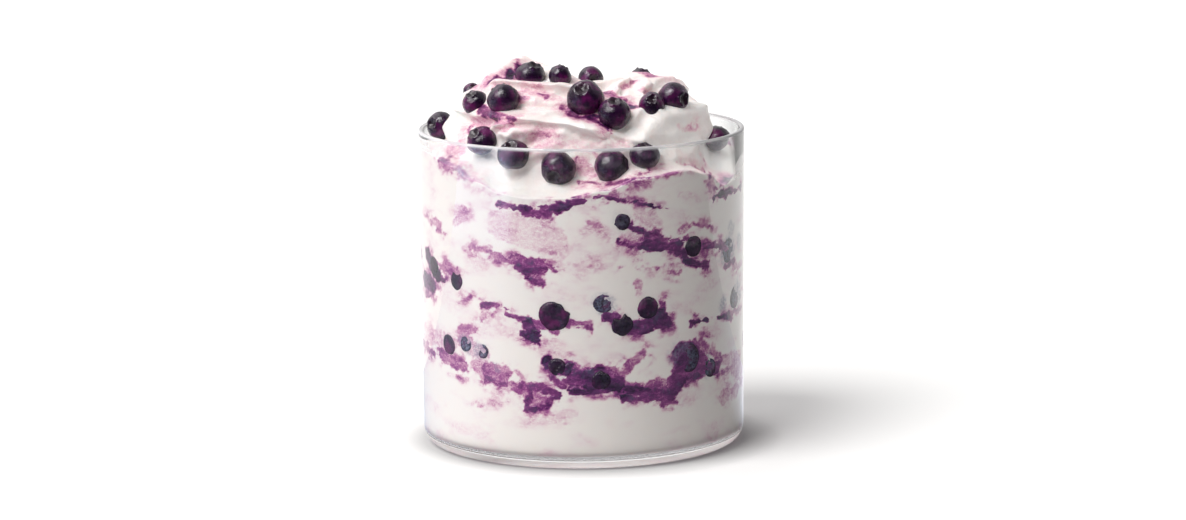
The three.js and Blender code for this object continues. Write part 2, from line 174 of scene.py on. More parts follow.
# ---- Sauce stains ----
# On the mound: from (azimuth, elevation), to the same, then half width in millimetres and strength. One
# stroke is painted shade.
MOUND_STAINS = [
    # the curl and the berries beside it
    [(-72, 59), (-62, 55), 2.4, 1], [(-80, 64), (-74, 62), 1.8, 0.75], [(-86, 64), (-80, 67), 1.2, 0.6],
    [(-71, 48), (-74, 54), 1.3, 0.62], [(-42, 48), (-36, 49), 1.6, 0.5], [(-57, 39), (-46, 38), 2.2, 0.8],
    [(-46, 38), (-33, 37.5), 1.8, 0.64], [(-62, 34), (-36, 33.5), 2.6, 0.32],
    [(-36, 33), (-15, 33), 1.6, 0.32], [(-60, 31), (-59, 28), 1.4, 0.56], [(-59, 25), (-58, 20), 2, 0.32],
    # inside the glass on the left
    [(-60, 17), (-57, 14), 1.4, 0.6], [(-62, 20), (-50, 15), 3, 0.28], [(-50, 15), (-38, 10), 2.8, 0.26],
    [(-46, 10), (-28, 7), 0.6, 0.42],
    # round the two large berries
    [(-38, 53), (-14, 53.5), 2.4, 0.22], [(-30, 54), (-24, 53), 1.3, 0.5], [(-11, 48), (-6, 47), 1.8, 0.58],
    [(-6, 46), (0, 42), 2.4, 0.7], [(1, 42), (8, 42.5), 2.2, 0.76], [(7, 41), (13, 36), 2, 0.8],
    [(24, 62), (31, 53), 1.9, 0.48], [(30, 51), (34, 45), 2.2, 0.76], [(21, 50), (26, 46), 1.6, 0.66],
    [(33, 44), (40, 43), 1.5, 0.6], [(44, 62), (56, 61), 1.7, 0.46], [(56, 60), (66, 56), 1.6, 0.3],
    [(50, 54), (58, 52), 1.6, 0.34], [(52, 31.5), (56, 31), 0.8, 0.28], [(58, 30.5), (65, 30), 1.2, 0.4],
    # a ring between the two front berries, and the edge on the glass
    [(-3, 26), (5, 25.5), 0.7, 0.62], [(5, 25.5), (8, 21), 0.7, 0.5], [(8, 20), (6, 14), 0.6, 0.46],
    [(-1, 12), (8, 10.5), 1.3, 0.76], [(-4, 16), (-3, 22), 1, 0.56], [(8, 7), (16, 12), 0.6, 0.62],
    # The last stroke on the next line, wide and faint across the front skirt, is painted shade in the hollow
    # under the front fold.
    [(-2, 20), (5, 15), 2.4, 0.36], [(8, 11), (16, 12), 1.2, 0.72], [(-24, 25), (20, 28), 3, 0.2],
    [(16, 12), (29, 15.5), 0.7, 0.66], [(29, 15.5), (48, 16), 0.5, 0.5], [(48, 16), (62, 12), 0.6, 0.56],
    [(62, 12), (56, 7.5), 0.8, 0.62], [(57, 8), (70, 7), 1.9, 0.86], [(64, 9), (66, 13), 1, 0.6],
    [(-92, 44), (-82, 46), 1.6, 0.3],
    # round the back
    [(118, 40), (136, 34), 3.2, 0.6], [(150, 48), (176, 40), 3.4, 0.7], [(-160, 30), (-140, 24), 3.0, 0.6],
    [(-130, 42), (-112, 36), 3.2, 0.6], [(-170, 60), (-140, 58), 3.0, 0.45],
    [(160, 22), (-170, 20), 2.6, 0.5], [(100, 58), (130, 62), 2.6, 0.45], [(110, 22), (130, 20), 2.6, 0.5],
]
# On the glass: from azimuth, height, to azimuth, height, then half width in millimetres and strength.
WALL_STAINS = [
    # lowest band, from left to right
    [-78, 34, -54, 34, 2.6, 0.2], [-74, 29, -60, 30, 0.8, 0.6], [-60, 29.6, -47, 27.4, 1.8, 0.64],
    [-50, 38, -42, 40, 1.3, 0.3], [-48, 36, -38, 32, 2.2, 0.3], [-41, 28.5, -36, 26, 2, 0.36],
    [-36, 27.5, -29, 27.5, 2.3, 0.6], [-37, 24.6, -25, 24, 0.8, 0.72], [-30, 25, -22, 23, 1.1, 0.62],
    [-24, 28, -21, 26, 0.9, 0.4], [-22, 24.4, -15, 24.6, 1.1, 0.8], [-20, 24, -20, 17.5, 0.8, 0.92],
    [-20, 18, -13, 18.6, 0.9, 0.92], [-18, 21.4, -14, 20, 1.9, 0.5], [-15, 24.6, -9, 21.4, 0.9, 0.78],
    [-14, 19, -10, 21.4, 0.8, 0.7], [-40, 17.4, -30, 19, 0.4, 0.34], [-30, 19, -25, 21, 0.4, 0.3],
    [-13, 15, -4, 16.5, 1.4, 0.14], [-12, 31, -6, 30, 1.8, 1.1], [-11, 27, -7, 25, 0.9, 0.8],
    [-5, 31, 1, 29, 1.5, 0.66], [-4, 27, 3, 27.6, 2, 0.86], [3, 26.6, 11, 26, 3, 1.05],
    [-5, 23.4, 3, 24, 0.8, 0.95], [5, 29.4, 14, 28.4, 1, 0.62], [14, 28.4, 22, 33.6, 0.9, 0.62],
    [11, 26, 18, 24, 1.6, 0.62], [14, 20.6, 24, 20, 1.4, 0.88], [16, 23.4, 23, 22.6, 1.6, 0.92],
    [22, 20, 27, 19.6, 0.6, 0.8], [25, 24.4, 31, 24, 1.9, 0.56], [26, 21.4, 33, 19.4, 1.9, 0.78],
    [29, 18, 33, 18.6, 0.8, 0.8], [34, 24, 40, 31, 3, 0.9], [39, 32, 45, 28, 4.4, 0.86],
    [46, 27, 55, 26, 2.3, 0.82], [44, 35, 52, 32, 1.3, 0.56], [52, 32, 58, 28, 1.2, 0.5],
    [35, 23, 45, 26, 0.6, 0.92], [57, 28, 76, 26, 1.8, 0.28], [57, 24, 66, 24, 0.8, 0.42],
    [60, 17, 72, 17, 2, 0.3], [70, 24, 80, 20, 2.6, 0.4],
    # second band
    [-66, 49, -63, 50, 0.8, 0.5], [-46, 48, -44, 48.6, 0.8, 0.42], [-37, 46, -32, 47, 0.9, 0.66],
    [-38, 43, -37, 44, 0.8, 0.28], [-31, 47.6, -26, 45, 0.5, 0.62], [-27, 44.6, -19, 44, 0.9, 0.66],
    [-20, 43, -17, 38.6, 1.6, 0.98], [-22, 39.4, -17, 37.2, 1.1, 0.9], [-17, 43, -10, 41.6, 1.5, 0.62],
    [-6, 43.4, 2, 42.6, 1.1, 0.64], [1, 42, 3, 41.4, 0.5, 0.7], [8, 45, 12, 44, 1, 0.9],
    [17, 41, 24, 42, 1.9, 0.84], [26, 44, 29, 42, 2.6, 0.84], [28.5, 48, 30, 41, 0.9, 0.66],
    [42, 41, 66, 40.2, 0.6, 0.9], [60, 40.6, 66, 39.6, 0.9, 0.72], [66, 40.8, 78, 40, 0.6, 0.5],
    # third band
    [-72, 58, -63, 53.6, 2, 1], [-76, 50, -68, 49.6, 2.6, 0.88], [-75, 46.4, -68, 46.8, 1.3, 0.5],
    [-57, 56.4, -54, 55, 1.1, 0.5], [-61, 53, -57.5, 52.6, 0.7, 0.82], [-49, 55.4, -50.5, 57, 0.5, 0.44],
    [-75, 69.4, -66, 69, 0.5, 0.3], [-66, 67.6, -60, 68, 1.1, 0.42], [-62, 66, -56, 66.4, 0.5, 0.42],
    [-50, 71, -46, 73, 1.8, 0.28], [-42, 63, -34, 63, 1.2, 0.36], [-35, 62, -24, 60.6, 0.9, 0.54],
    [-26, 61.4, -14, 60, 1.1, 0.54], [-22, 58.6, -14, 58, 1.3, 0.72], [-19, 56, -14, 55, 0.9, 0.74],
    [-14, 60, -9, 58.6, 0.4, 0.54], [-10, 58.5, -4, 58, 0.3, 0.24], [-4, 58, 3, 58.2, 0.35, 0.38],
    [4, 60, 7, 59.6, 0.35, 0.28], [13.5, 59, 17, 59.2, 0.45, 0.4], [19, 58.4, 28, 57.4, 0.7, 0.5],
    [28, 57.2, 36, 55.8, 0.45, 0.45], [19.5, 54.4, 20, 52, 0.8, 0.32], [3, 72, 6.5, 70.6, 0.9, 0.34],
    [20, 74, 27, 71, 1.8, 0.2], [17, 71, 25, 67, 1.1, 0.68], [25, 66.4, 40, 65, 1, 0.68],
    [13, 66, 16, 65.4, 0.7, 0.76], [15, 65, 22, 63.6, 0.5, 0.8], [22, 64.6, 35, 63.4, 1.4, 0.86],
    [34, 62, 38, 60.4, 1.2, 0.86], [38, 59.6, 44, 57.6, 0.9, 0.82], [44, 57.6, 50, 56.8, 0.8, 0.76],
    [37, 68, 41, 69, 0.8, 0.3], [43, 70, 53, 67.4, 0.7, 0.42], [48, 62.6, 57, 61.4, 1.1, 0.8],
    [57, 62.4, 61, 60, 1.1, 0.64], [61, 55.4, 69, 55.4, 1.1, 0.62], [68, 54, 78, 54, 1, 0.34],
    # top band
    [-30.5, 76.4, -27, 76.3, 0.7, 0.76], [-27, 76.3, -10, 76, 0.7, 0.74], [-21, 75.2, -12, 74.6, 1.1, 0.68],
    [-10, 76.2, -4, 77, 0.9, 0.78], [-4, 78, 0, 78.6, 0.7, 0.72], [0, 79, 9, 79, 0.45, 0.64],
    [9, 78.6, 18, 77.8, 0.4, 0.84], [18, 77.6, 27, 75.8, 0.55, 0.92], [27, 75.7, 31.5, 75.2, 0.35, 0.66],
    [-30, 71, -10, 67, 4, 0.13], [-16, 73, -8, 70, 1.4, 0.16], [53.5, 76.4, 58, 76.5, 0.6, 0.9],
    [58, 76.5, 64, 76.8, 1.1, 1.05], [64, 76.5, 78, 76.5, 0.8, 0.74], [55, 79.4, 60, 79, 0.9, 0.62],
    [59, 80, 66, 81.6, 0.45, 0.52], [64, 80.3, 69, 80.4, 0.5, 0.6],
    # the edge of the mound on the glass
    [10, 79.6, 13, 82.6, 0.3, 0.5], [13, 83, 24, 84.6, 0.35, 0.7], [24, 85, 35, 86.8, 0.45, 0.72],
    [35, 86.9, 45, 86.3, 0.3, 0.6], [45, 86.2, 50, 84, 0.35, 0.56], [50, 84, 54, 80, 0.45, 0.7],
    [36, 77.7, 40, 78.2, 0.2, 0.16], [40, 78.2, 48, 77.2, 0.2, 0.16], [-60, 87.5, -55, 88.5, 1.1, 0.62],
    [-56, 88, -45, 87, 2.8, 0.42], [-48, 84, -41, 84, 1.4, 0.3], [-45, 81.6, -30, 80.4, 0.3, 0.18],
    # round the back
    [84, 30, 96, 27, 2.2, 0.7], [92, 24, 110, 25, 1.4, 0.8], [104, 29, 122, 24, 2.4, 0.9],
    [118, 25, 134, 21, 1.2, 0.62], [130, 31, 156, 28, 2.6, 0.86], [150, 26, 168, 30, 1.2, 0.66],
    [166, 26, 184, 26, 2.4, 0.9], [188, 28, 204, 22, 1.4, 0.7], [212, 24, 228, 28, 2.6, 0.88],
    [226, 28, 244, 25, 1.5, 0.62], [246, 31, 262, 30, 2.2, 0.84], [262, 28, 280, 30, 1, 0.6],
    [84, 44, 100, 41, 1.2, 0.7], [116, 42, 130, 39, 2.4, 0.9], [130, 41, 150, 44, 1.6, 0.72],
    [150, 43, 166, 40, 0.9, 0.84], [182, 45, 196, 42, 1.2, 0.5], [208, 46, 224, 44, 2.2, 0.9],
    [224, 43, 244, 44, 1.6, 0.72], [246, 46, 262, 44, 1.2, 0.84], [262, 43, 276, 46, 0.8, 0.5],
    [96, 57, 112, 59, 1.4, 0.72], [110, 60, 128, 62, 2.4, 0.9], [126, 62, 142, 60, 1, 0.6],
    [160, 58, 176, 60, 1.4, 0.7], [174, 61, 192, 63, 2.4, 0.92], [190, 62, 204, 60, 1.2, 0.62],
    [226, 58, 244, 62, 1.3, 0.7], [240, 61, 262, 58, 2.2, 0.88], [262, 58, 278, 56, 1, 0.6],
    [88, 77, 104, 78, 0.5, 0.7], [112, 78, 138, 76.6, 1.1, 0.88], [136, 76.6, 158, 76.6, 1.4, 0.92],
    [158, 77.6, 176, 78.6, 0.5, 0.66], [196, 78, 214, 77, 0.6, 0.7], [222, 78, 244, 78, 1.2, 0.88],
    [244, 77, 262, 77, 0.6, 0.66], [96, 70, 126, 66, 2.6, 0.24], [190, 70, 214, 55, 2.6, 0.22],
    [128, 34, 160, 34, 3, 0.24], [236, 36, 262, 38, 2.6, 0.24], [222, 71, 250, 68, 2.4, 0.2],
    [96, 84, 120, 82, 1.4, 0.42], [150, 84, 186, 85, 0.4, 0.5], [210, 83, 236, 84, 1.6, 0.4],
]
# Thin cream over a berry or over sauce, and in the last two a painted reflection of the glass over the
# berries
# and cream high on the left: azimuth, height, half size in millimetres, strength.
VEILS_AND_PAINTED_REFLECTION = [
    [13, 73.5, 2.6, 0.15], [64, 59.6, 4.6, 0.75], [66, 65.5, 2.6, 0.45], [72, 45, 4.2, 0.7],
    [60, 44, 2.6, 0.6], [-46, 34.6, 2.8, 0.75], [-39.4, 33.6, 2.8, 0.6], [-33, 27.4, 2.4, 0.5],
    [-7, 27, 2.2, 0.3], [38, 31, 4.4, 0.5], [50, 27, 3.4, 0.55], [8, 48, 3.2, 0.6], [-3, 27, 2.2, 0.5],
    [75, 61, 2.6, 0.5], [128, 24, 3.4, 0.6], [150, 43, 3.8, 0.6], [206, 60, 3, 0.5], [236, 28, 3.4, 0.6],
    # Painted reflection: the glass's grey blue reflection over the berries and cream just below the rim on
    # the left.
    [-45, 87, 4, 0.8], [-33, 85.5, 3.6, 0.8],
]


# ---- Rules that the forms share ----
def eased(t):
    """3t^2 - 2t^3: a soft step from 0 to 1, and flat outside."""
    t = np.clip(t, 0, 1)
    return t * t * (3 - 2 * t)


def around(knots, azimuth, column=1):
    """A column of a ring of knots at each azimuth, eased from knot to knot and closed round the cup."""
    table = np.array(sorted(knots), float)
    places = np.append(table[:, 0], table[0, 0] + 360)
    values = np.append(table[:, column], table[0, column])
    a = (np.asarray(azimuth, float) - places[0]) % 360 + places[0]
    low = np.clip(np.searchsorted(places, a, side="right") - 1, 0, len(table) - 1)
    t = eased((a - places[low]) / (places[low + 1] - places[low]))
    return values[low] + (values[low + 1] - values[low]) * t


def columns(steps):
    """Azimuths of the columns of a mesh, which stand closer at the front and wider at the back."""
    turn = np.arange(steps) / steps
    return 360 * turn - 26 * np.sin(2 * np.pi * turn)


def direction(azimuth, elevation):
    """Unit vectors of an azimuth and an elevation."""
    a, e = np.broadcast_arrays(np.radians(azimuth), np.radians(elevation))
    return np.stack([np.cos(e) * np.sin(a), -np.cos(e) * np.cos(a), np.sin(e)], -1)


def at_radius(azimuth, radius, height):
    """Points at a radius and a height."""
    a, r, z = np.broadcast_arrays(np.radians(azimuth), radius, height)
    return np.stack([r * np.sin(a), -r * np.cos(a), z], -1)


def lattice_noise(points, seed):
    """A smooth random value from -1 to 1: the eased blend of the random values at the eight corners of the
    unit cell that each point lies in."""
    side = 32
    table = np.random.default_rng(seed).uniform(-1, 1, (side, side, side))
    cell = np.floor(points).astype(int)
    f = eased(points - cell)
    low, high = cell % side, (cell + 1) % side
    value = 0.0
    for corner in range(8):
        pick = [(corner >> k) & 1 for k in range(3)]
        index = tuple((high if pick[k] else low)[..., k] for k in range(3))
        weight = np.prod([f[..., k] if pick[k] else 1 - f[..., k] for k in range(3)], axis=0)
        value = value + table[index] * weight
    return value


def rough(points, size, seed, octaves=3):
    """Noise whose largest lumps measure `size`, with each finer layer half as large and 0.55 as strong."""
    value, strength = 0.0, 1.0
    for layer in range(octaves):
        value = value + strength * lattice_noise(points * (2**layer / size) + 17.3 * layer, seed + layer)
        strength *= 0.55
    return value


def glass_inside(height):
    """Radius of the cavity of the glass at a height, above its rounded corner."""
    return FOOT_RADIUS - WALL + (RIM_RADIUS - FOOT_RADIUS) * height / GLASS_HEIGHT


# ---- The mound's form ----
def hump_rise(towards, azimuth, elevation, width, rise):
    """A bell over the angle from the hump's middle."""
    angle = np.degrees(np.arccos(np.clip(towards @ direction(azimuth, elevation), -1, 1)))
    return rise * np.exp(-((angle / width) ** 2))


def fold_bell(towards, start, end, bow, upper, lower, drop=0.0):
    """How strongly each direction lies on a fold, 0 to 1: a bell across a bowed arc, of one width on its
    upper flank and another on its lower one, which fades past the arc's ends. Also the way downhill. drop
    moves the arc downhill, in degrees."""
    a, b = direction(*start), direction(*end)
    pole = np.cross(b, a)
    pole /= np.linalg.norm(pole)
    length = np.arccos(np.clip(a @ b, -1, 1))
    along = np.arctan2(towards @ np.cross(a, pole), towards @ a) / length
    t = np.clip(along, 0, 1)
    beyond = np.degrees(np.abs(along - t) * length)
    offset = -np.degrees(np.arcsin(np.clip(towards @ pole, -1, 1))) - bow * 4 * t * (1 - t) + drop
    flank = np.where(offset > 0, upper, lower)
    return np.exp(-((offset / flank) ** 2) - (beyond / upper) ** 2), pole


def mound_reach(azimuth, elevation):
    """Distance from MOUND_CENTRE to the cream: a rounded box of revolution with its humps and main folds, or
    the skirt that slopes down to the glass, whichever reaches further, with a soft hollow between them."""
    towards = direction(azimuth, elevation)
    e = np.radians(elevation)
    side = (np.cos(e) / around(GIRTH, azimuth)) ** MOUND_POWER
    top = (np.maximum(np.sin(e), 0) / MOUND_TOP) ** MOUND_POWER
    mound = (side + top) ** (-1 / MOUND_POWER)
    for hump in HUMPS:
        mound = mound + hump_rise(towards, *hump)
    for *arc, rise in FOLDS:
        mound = mound + rise * fold_bell(towards, *arc)[0]
    edge = around(CONTACT, azimuth) - MOUND_CENTRE + CREAM_RADIUS * SKIRT_SLOPE
    skirt = edge / (np.sin(e) + SKIRT_SLOPE * np.cos(e))
    return (mound + skirt + np.hypot(mound - skirt, SKIRT_BLEND)) / 2


def mound_points(azimuth, elevation):
    """Points of the mound: its reach, the creases that stand on it and lean downhill, and a fine unevenness.
    Near the glass all of that fades, and nothing passes into the wall by more than INTO_WALL."""
    towards = direction(azimuth, elevation)
    plain = towards * mound_reach(azimuth, elevation)[..., None]
    inside = glass_inside(plain[..., 2] + MOUND_CENTRE) - np.hypot(plain[..., 0], plain[..., 1])
    freedom = eased(inside / 4)
    swirled = towards * 30 + 2.5 * np.stack([rough(towards * 30, 14, 41 + k, 2) for k in range(3)], -1)
    ridges = 1 - 2.2 * np.abs(rough(swirled * [1, 1, 1.9], 8, 31, 2))
    crumbs = rough(swirled * [1, 1, 1.8], 3, 21, 3)
    rise = 0.45 * rough(swirled, 9, 11, 2) + 0.5 * ridges + 0.16 * crumbs - 0.75
    shift = np.zeros_like(towards)
    for start, end, bow, upper, lower, height, lean in CREASES:
        bell, downhill = fold_bell(towards, start, end, bow, upper, lower)
        under = fold_bell(towards, start, end, bow, lower, lower, 2.3 * lower)[0]
        rise = rise + height * bell - 0.5 * height * under
        shift = shift + (lean * bell)[..., None] * downhill
    points = plain + (towards * rise[..., None] + shift) * freedom[..., None]
    points[..., 2] += MOUND_CENTRE
    radius = np.hypot(points[..., 0], points[..., 1])
    limit = glass_inside(points[..., 2]) + INTO_WALL
    points[..., :2] *= np.minimum(1, limit / np.maximum(radius, 1e-6))[..., None]
    return points


# ---- Where the sauce is ----
def torn(points, seed):
    """Points stirred by noise in lumps of 7, 2.6 and 1 mm, so that strokes laid on them get torn edges."""
    stirred = points.copy()
    for size, strength in ((7, 0.7), (2.6, 0.65), (1, 0.4)):
        shift = [rough(points * [1, 1, 1.5], size, seed + k, 2) for k in range(3)]
        stirred = stirred + strength * np.stack(shift, -1)
        seed += 10
    return stirred


def strokes(points, starts, ends, half_widths, strengths, soft):
    """The strongest stroke at each point: full within its half width, and an eased fall over `soft`."""
    strongest = np.zeros(points.shape[:-1])
    for a, b, half_width, strength in zip(starts, ends, half_widths, strengths):
        way = b - a
        along = np.clip(((points - a) @ way) / max(way @ way, 1e-9), 0, 1)
        gap = np.linalg.norm(points - a - along[..., None] * way, axis=-1)
        strongest = np.maximum(strongest, strength * eased(0.5 + (half_width - gap) / soft))
    return strongest


def wall_sauce(points):
    """Sauce on the glass, 0 to about 1.1: its strokes, which are thinner below 40 mm, a pale halo round the
    stronger ones, and grain."""
    table = np.array(WALL_STAINS)
    starts = at_radius(table[:, 0], STAIN_RADIUS, table[:, 1])
    ends = at_radius(table[:, 2], STAIN_RADIUS, table[:, 3])
    stirred = torn(points, 60)
    core = strokes(stirred, starts, ends, table[:, 4] + 0.3, table[:, 5] * 0.9 + 0.07, 0.8)
    halo = strokes(stirred, starts, ends, table[:, 4] + 2.1, np.minimum(table[:, 5], 0.62) * 0.66, 3.2)
    patchy = 1 + 0.24 * rough(points * [1, 1, 1.9], 5, 95, 3)
    broken = np.clip(0.25 + 1.6 * rough(points * [1, 1, 1.5], 5, 99, 4), 0, 1.4)
    haze = 0.18 * np.clip(rough(points * [1, 1, 2], 9, 120, 4), 0, 1)
    thinner = 1 - 0.16 * eased((40 - points[..., 2]) / 6)
    return np.maximum(core * patchy * thinner, halo * broken) + haze


def mound_sauce(points):
    """Sauce on the mound, 0 to about 1.1: its strokes, softer than those on the glass, a pale halo round
    them, and a haze."""
    spots = [(mound_points(np.array([a]), np.array([e]))[0], mound_points(np.array([c]), np.array([d]))[0])
             for (a, e), (c, d), _, _ in MOUND_STAINS]
    widths = np.array([stain[2] for stain in MOUND_STAINS])
    strengths = np.array([stain[3] for stain in MOUND_STAINS])
    starts, ends = (np.array(side) for side in zip(*spots))
    stirred = torn(points, 160)
    core = strokes(stirred, starts, ends, widths * 0.75, strengths * 0.95, 1.6)
    halo = strokes(stirred, starts, ends, widths + 1.6, np.minimum(strengths, 0.7) * 0.4, 4.0)
    haze = 0.05 + 0.13 * np.clip(rough(points, 12, 220, 4), -0.4, 1)
    broken = np.clip(0.6 + 1.2 * rough(points, 6, 230, 4), 0, 1.5)
    return np.maximum(core * (1 + 0.25 * rough(points, 3.5, 195, 4)), halo * broken) + haze


def veiled(points):
    """How much pale veil lies over something dark there, 0 to 1: thin cream, and high on the left a painted
    reflection of the glass, in patches with edges that noise tears.
    """
    veil = np.zeros(points.shape[:-1])
    for azimuth, height, half, strength in VEILS_AND_PAINTED_REFLECTION:
        gap = np.linalg.norm(points - at_radius(azimuth, glass_inside(height), height), axis=-1)
        edge = 1.5 * (half - gap) / half + 0.45 + 0.55 * rough(points, 2.6, 99, 3)
        veil = np.maximum(veil, strength * eased(edge))
    return veil


# ---- Meshes ----
def piece(name, rings, finish, nodes, fields=None):
    """A closed shell from rings of points [ring, step, xyz] that run up its outside. Every ring closes on
    itself, and the first and the last ring are drawn together into a pole. fields hold one value a point."""
    rows, steps = rings.shape[:2]
    body = rings[1:-1].reshape(-1, 3)
    points = np.concatenate([rings[0].mean(0)[None], body, rings[-1].mean(0)[None]]) * MM
    step = np.arange(steps)
    beside = (step + 1) % steps
    first = 1 + np.arange(rows - 3)[:, None] * steps
    quads = np.stack([first + step, first + beside, first + steps + beside, first + steps + step], -1)
    last = 1 + (rows - 3) * steps
    foot = np.stack([np.zeros_like(step), beside + 1, step + 1], -1)
    cap = np.stack([last + step, last + beside, np.full_like(step, len(points) - 1)], -1)
    mesh = bpy.data.meshes.new(name)
    mesh.from_pydata(points.tolist(), [], quads.reshape(-1, 4).tolist() + foot.tolist() + cap.tolist())
    mesh.shade_smooth()
    for field, values in (fields or {}).items():
        flat = np.concatenate([[values[0].mean()], values[1:-1].ravel(), [values[-1].mean()]])
        mesh.attributes.new(field, "FLOAT", "POINT").data.foreach_set("value", flat.astype(np.float32))
    mesh.materials.append(finish)
    shell = bpy.data.objects.new(name, mesh)
    bpy.context.scene.collection.objects.link(shell)
    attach(shell, "root")
    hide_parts(*nodes)
    return shell


def turned(profile, azimuth):
    """Rings of a profile of (radius, height) turned round the axis."""
    return np.stack([at_radius(azimuth, radius, height) for radius, height in profile])


def arc(centre_radius, centre_height, radius, start, end, count):
    """Profile points along an arc, from one angle to another in degrees."""
    angles = np.radians(np.linspace(start, end, count))
    return np.stack([centre_radius + radius * np.cos(angles), centre_height + radius * np.sin(angles)], -1)


# ---- Finishes ----
def srgb(red, green, blue):
    """A display colour, 0 to 255, as the linear colour that a shader takes."""
    linear = [((c / 255 + 0.055) / 1.055) ** 2.4 if c > 10 else c / 255 / 12.92 for c in (red, green, blue)]
    return (*linear, 1)


# Colour by level of sauce, from bare cream to thick sauce: on the glass, and on the mound, whose bare cream
# is paler as painted light on its shaded side.
SAUCE_COLOURS = [
    (0.0, srgb(241, 235, 231)), (0.1, srgb(238, 226, 226)), (0.22, srgb(227, 200, 209)),
    (0.38, srgb(198, 140, 174)), (0.54, srgb(152, 76, 138)), (0.7, srgb(114, 48, 110)),
    (0.86, srgb(84, 36, 90)), (1.0, srgb(50, 22, 60)),
]
PINKER_AND_PAINTED_PALER_COLOURS = [
    (0.0, srgb(247, 242, 239)), (0.1, srgb(243, 230, 228)), (0.22, srgb(237, 208, 214)),
    (0.38, srgb(216, 158, 182)), (0.54, srgb(158, 84, 132)), (0.7, srgb(106, 40, 94)),
    (0.86, srgb(64, 26, 68)), (1.0, srgb(36, 16, 42)),
]


class Nodes:
    """Short calls that add and join the nodes of a tree."""

    def __init__(self, tree):
        self.tree = tree

    def join(self, value, socket):
        if isinstance(value, bpy.types.NodeSocket):
            self.tree.links.new(value, socket)
        else:
            socket.default_value = value

    def node(self, kind, inputs=None, **settings):
        new = self.tree.nodes.new("ShaderNode" + kind)
        for key, value in settings.items():
            setattr(new, key, value)
        for socket, value in (inputs or {}).items():
            self.join(value, new.inputs[socket])
        return new

    def math(self, operation, first, second=0.0, third=0.0):
        return self.node("Math", {0: first, 1: second, 2: third}, operation=operation).outputs[0]

    def spread(self, value, low, high, to_low, to_high):
        made = self.node("MapRange", {0: value, 1: low, 2: high, 3: to_low, 4: to_high})
        return made.outputs[0]

    def blend(self, share, first, second):
        return self.node("Mix", {0: share, 6: first, 7: second}, data_type="RGBA").outputs[2]

    def noise(self, lump, detail=3.0, roughness=0.55, stretch=(1, 1, 1)):
        """Noise on Object coordinates with lumps of `lump` millimetres, 0 to 1."""
        place = self.node("TexCoord").outputs["Object"]
        scaled = self.node("Mapping", {"Vector": place, "Scale": tuple(s / (lump * MM) for s in stretch)})
        made = self.node("TexNoise", {"Vector": scaled.outputs[0], "Scale": 1.0, "Detail": detail,
                                      "Roughness": roughness})
        return made.outputs[0]

    def field(self, name):
        return self.node("Attribute", attribute_name=name).outputs["Fac"]

    def ramp(self, value, stops):
        made = self.node("ValToRGB", {0: value})
        elements = made.color_ramp.elements
        while len(elements) < len(stops):
            elements.new(0.5)
        for element, (position, colour) in zip(elements, stops):
            element.position = position
            element.color = colour
        return made.outputs[0]


class Finish(Nodes):
    """A material with its Principled node, called skin."""

    def __init__(self, name, colour, **sockets):
        self.material = bpy.data.materials.new(name)
        self.material.use_nodes = True
        super().__init__(self.material.node_tree)
        self.skin = self.tree.nodes["Principled BSDF"]
        self.output = self.tree.nodes["Material Output"]
        self.skin.inputs["Base Color"].default_value = colour
        for socket, value in sockets.items():
            self.skin.inputs[socket.replace("_", " ")].default_value = value

    def set(self, socket, value):
        self.join(value, self.skin.inputs[socket])

    def bump(self, height, depth_mm, strength=1.0):
        made = self.node("Bump", {"Height": height, "Distance": depth_mm * MM, "Strength": strength})
        self.set("Normal", made.outputs[0])


def stained_colour(finish, sauce):
    """The colour of a level of sauce. Where there is any, its borders wander by two sizes of noise, thin pale
    veins run through it and slate blue patches lie on its darker parts. The mound's stains are pinker, and
    its bare cream is paler as painted light."""
    present = finish.node("Math", {0: sauce, 1: 4.0}, operation="MULTIPLY", use_clamp=True).outputs[0]
    grain = finish.math("SUBTRACT", finish.noise(1.4, 6.0, 0.7, (1, 1, 1.4)), 0.5)
    speckle = finish.math("SUBTRACT", finish.noise(0.35, 2.0), 0.5)
    edge = finish.math("ADD", finish.math("MULTIPLY", grain, 0.6), finish.math("MULTIPLY", speckle, 0.24))
    line = finish.math("ABSOLUTE", finish.math("SUBTRACT", finish.noise(3.2, 4.0, 0.6, (1, 1, 1.6)), 0.5))
    wander = finish.math("SUBTRACT", edge, finish.spread(line, 0.0, 0.025, 0.16, 0.0))
    level = finish.math("MULTIPLY_ADD", wander, present, sauce)
    purple, pink = finish.ramp(level, SAUCE_COLOURS), finish.ramp(level, PINKER_AND_PAINTED_PALER_COLOURS)
    colour = finish.blend(finish.field("relief"), purple, pink)
    dark = finish.spread(level, 0.5, 0.75, 0.0, 0.55)
    slate = finish.math("MULTIPLY", dark, finish.spread(finish.noise(4.0, 5.0, 0.7), 0.52, 0.64, 0.0, 1.0))
    return finish.blend(slate, colour, srgb(78, 80, 108))


